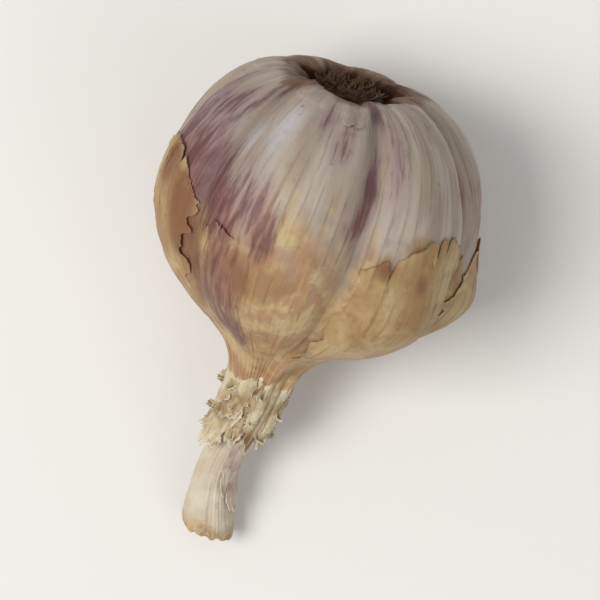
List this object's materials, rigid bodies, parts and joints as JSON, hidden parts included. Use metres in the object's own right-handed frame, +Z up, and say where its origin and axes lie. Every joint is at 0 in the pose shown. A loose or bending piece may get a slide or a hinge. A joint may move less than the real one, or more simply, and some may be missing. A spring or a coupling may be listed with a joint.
{
  "type": "garlic bulb",
  "caption": "Dried garlic bulb lying on its side: cloves in papery purple-striped skin, frayed neck with a cut stalk stub, sunken root plate.",
  "frame": {"origin": "middle of the footprint, on the surface that the bulb rests on", "axes": "+Z up; +Y from the neck towards the root end, along the bulb as it lies; +X to the right seen from the stalk's end"},
  "size_m": [0.0634, 0.0936, 0.0575],
  "materials": {
    "skin": "dry papery bulb skin, satin, white to lilac with maroon streaks at the root end and tan towards the neck",
    "stalk": "dry cream plant stalk with fine lengthwise fibres, matt",
    "root": "dark brown corky disc with cut, dried roots, matt",
    "old_skin": "thin, brittle tan outer skin with torn brown edges",
    "leaf": "frayed, crumpled cream and tan dried leaf, matt"
  },
  "bodies": {
    "root": {"bulb": "skin", "stalk": "stalk", "root_plate": "root", "old_skin_right": "old_skin", "old_skin_left": "old_skin", "old_skin_under": "old_skin", "neck_leaf_1": "leaf", "neck_leaf_2": "leaf", "neck_leaf_3": "leaf", "neck_leaf_4": "leaf", "neck_leaf_5": "leaf"}
  },
  "joints": []
}
